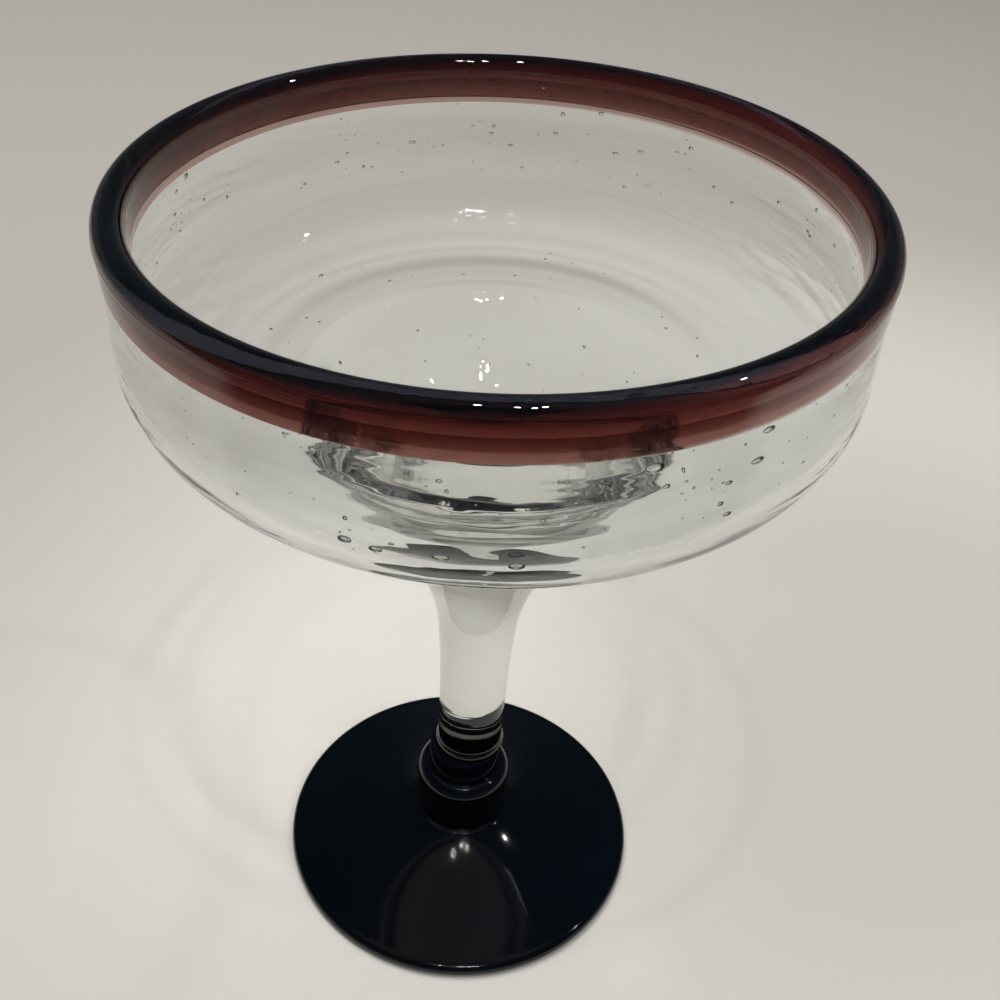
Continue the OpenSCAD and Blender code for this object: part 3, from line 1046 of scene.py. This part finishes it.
class GLASS_OT_stage(Operator):
    """Lays the pale floor and sets up the lamps and the camera"""

    bl_idname = "glass.stage"
    bl_label = "Set the stage"

    def execute(self, context):
        stage = settings("stage")
        self.lay_floor(stage)
        self.light_room(context, stage)
        self.hang_lamps(stage)
        self.place_camera(context)
        scene = context.scene
        scene.view_settings.view_transform = "Standard"
        scene.cycles.max_bounces = BOUNCES
        scene.cycles.glossy_bounces = BOUNCES
        scene.cycles.transmission_bounces = BOUNCES
        scene.cycles.transparent_max_bounces = BOUNCES
        return {"FINISHED"}

    @staticmethod
    def lay_floor(stage):
        """A wide pale floor with painted light and shade: a painted shadow under the glass, a painted pool
        of light round it that is a little greyer further off, and a front part that is dark in reflections.
        """
        bm = bmesh.new()
        bmesh.ops.create_grid(bm, x_segments=8, y_segments=8, size=4.0)
        mesh = bpy.data.meshes.new("floor")
        bm.to_mesh(mesh)
        bm.free()
        floor = bpy.data.objects.new("floor", mesh)
        bpy.context.scene.collection.objects.link(floor)
        material, tree, shader = new_material("floor_paper", stage.near)
        nodes, links = tree.nodes, tree.links
        place = add_node(nodes, "TexCoord")
        away = add_node(nodes, "VectorMath", operation="DISTANCE")
        away.inputs[1].default_value = PAINTED_LIGHT_SPOT
        ranged = add_range(nodes, 0.0, PAINTED_LIGHT_REACH, "LINEAR")
        mixed = add_node(nodes, "ValToRGB")
        mixed.color_ramp.interpolation = "EASE"
        # Painted shadow under the glass, a painted pool of light round it, and painted falloff to grey
        # further off
        fill_ramp(mixed, [(0.1, stage.under), (0.35, stage.near), (0.75, stage.far)])
        wire(
            links,
            (place, "Object", away, 0),
            (away, "Value", ranged, "Value"),
            (ranged, 0, mixed, "Fac"),
        )
        apart = add_node(nodes, "SeparateXYZ")
        ahead = add_range(nodes, *FRONT_BEGINS)
        mirror = mirror_rays(nodes, links)
        mirrored = add_node(nodes, "Math", operation="MULTIPLY")
        shown = add_mix(nodes, second=(*stage.front, 1))
        wire(
            links,
            (place, "Object", apart, 0),
            (apart, "Y", ahead, "Value"),
            (ahead, 0, mirrored, 0),
            (mirror, 0, mirrored, 1),
            (mirrored, 0, shown, "Factor"),
            (mixed, "Color", shown, "A"),
            (shown, "Result", shader, "Base Color"),
        )
        preset(shader, Roughness=0.9, Specular_IOR_Level=0.0)
        mesh.materials.append(material)

    @staticmethod
    def light_room(context, stage):
        """A dim room overhead that pales towards the horizon, and is darker in reflections."""
        world = bpy.data.worlds.new("room")
        context.scene.world = world
        world.use_nodes = True
        nodes, links = world.node_tree.nodes, world.node_tree.links
        background = nodes["Background"]
        preset(background, Strength=1.0)
        place = add_node(nodes, "TexCoord")
        apart = add_node(nodes, "SeparateXYZ")
        ranged = add_range(nodes, *OVERHEAD_BEGINS)
        mirror = mirror_rays(nodes, links)
        horizon = add_mix(nodes, (*stage.haze, 1), (*stage.dusk, 1))
        overhead = add_mix(nodes, (*stage.through, 1), (*stage.room, 1))
        mixed = add_mix(nodes)
        wire(
            links,
            (mirror, 0, horizon, "Factor"),
            (mirror, 0, overhead, "Factor"),
            (horizon, "Result", mixed, "A"),
            (overhead, "Result", mixed, "B"),
            (place, "Generated", apart, 0),
            (apart, "Z", ranged, "Value"),
            (ranged, 0, mixed, "Factor"),
            (mixed, "Result", background, "Color"),
        )

    @staticmethod
    def hang_lamps(stage):
        """One wide soft lamp overhead, one at the front, and small bulbs that give the glints."""
        key, fill = Vector((-0.3, 0.25, 1.5)), Vector((0.7, -0.9, 0.9))
        add_lamp("key_lamp", key, 1.0, stage.key_power, (1.0, 0.975, 0.94), False)
        add_lamp("fill_lamp", fill, 0.7, stage.fill_power, (0.92, 0.96, 1.0), False)
        bulbs = [
            Vector((-0.081, -0.3, 1.5)),
            Vector((0.078, -0.42, 1.5)),
            Vector((0.161, -0.5, 1.5)),
            Vector((0.189, -0.37, 1.5)),
            Vector((0.8, 0.1, 1.2)),
        ]
        for number, place in enumerate(bulbs, 1):
            add_lamp(f"bulb_{number}", place, 0.03, stage.bulb_power, (1.0, 0.97, 0.92), True)

    @staticmethod
    def place_camera(context):
        """Sets the camera in front of the glass and above it, so that it looks down into the bowl."""
        pitch, yaw, roll = math.radians(37.96), math.radians(1.16), math.radians(4.5)
        place = Vector((0, -0.18018, 0.24218))
        level = Vector((math.cos(yaw), -math.sin(yaw), 0))
        onward = Vector((math.sin(yaw), math.cos(yaw), 0))
        ahead = math.cos(pitch) * onward - Vector((0, 0, math.sin(pitch)))
        above = level.cross(ahead)
        right = math.cos(roll) * level + math.sin(roll) * above
        up = -math.sin(roll) * level + math.cos(roll) * above
        data = bpy.data.cameras.new("camera")
        data.lens = 42.735
        data.sensor_width = 36.0
        data.clip_start = 0.01
        camera = bpy.data.objects.new("camera", data)
        context.scene.collection.objects.link(camera)
        turn = Matrix((right, up, -ahead)).transposed().to_4x4()
        camera.matrix_world = Matrix.Translation(place) @ turn
        context.scene.camera = camera


def mirror_rays(nodes, links):
    """A mask of the rays that a polished surface throws back, without those that go through it."""
    path = add_node(nodes, "LightPath")
    mirror = add_node(nodes, "Math", operation="SUBTRACT", use_clamp=True)
    wire(links, (path, "Is Glossy Ray", mirror, 0), (path, "Is Transmission Ray", mirror, 1))
    return mirror


def add_lamp(name, place, size, power, tone, seen):
    """A round lamp that faces the glass, and is itself seen in it or not."""
    data = bpy.data.lights.new(name, "AREA")
    data.shape = "DISK"
    data.size = size
    data.energy = power
    data.color = tone
    lamp = bpy.data.objects.new(name, data)
    lamp.location = place
    lamp.rotation_euler = (LAMP_TARGET - place).to_track_quat("-Z", "Y").to_euler()
    lamp.visible_glossy = seen
    lamp.visible_transmission = seen
    bpy.context.scene.collection.objects.link(lamp)


class GLASS_PT_panel(Panel):
    """The glass in the sidebar"""

    bl_idname = "GLASS_PT_panel"
    bl_label = "Margarita Glass"
    bl_space_type = "VIEW_3D"
    bl_region_type = "UI"
    bl_category = "Glass"

    def draw(self, context):
        for name, (kind, operator) in PARTS.items():
            box = self.layout.box()
            if operator:
                box.operator(operator)
            group = settings(name)
            for prop in kind.__annotations__:
                box.prop(group, prop)


PARTS = {
    "bowl": (BowlSettings, "glass.bowl"),
    "seeds": (SeedSettings, None),
    "rim": (RimSettings, "glass.rim"),
    "stem": (StemSettings, "glass.stem"),
    "foot": (FootSettings, "glass.foot"),
    "stage": (StageSettings, "glass.stage"),
}

OPERATORS = (GLASS_OT_bowl, GLASS_OT_rim, GLASS_OT_stem, GLASS_OT_foot, GLASS_OT_stage)


def register():
    for kind, _ in PARTS.values():
        bpy.utils.register_class(kind)
    for name, (kind, _) in PARTS.items():
        setattr(bpy.types.Scene, "glass_" + name, PointerProperty(type=kind))
    for kind in OPERATORS + (GLASS_PT_panel,):
        bpy.utils.register_class(kind)


def unregister():
    for kind in reversed(OPERATORS + (GLASS_PT_panel,)):
        bpy.utils.unregister_class(kind)
    for name, (kind, _) in reversed(PARTS.items()):
        delattr(bpy.types.Scene, "glass_" + name)
        bpy.utils.unregister_class(kind)


def main():
    """Builds the glass and its stage."""
    register()
    bpy.ops.glass.bowl()
    bpy.ops.glass.rim()
    bpy.ops.glass.stem()
    bpy.ops.glass.foot()
    bpy.ops.glass.stage()


if __name__ == "__main__":
    main()
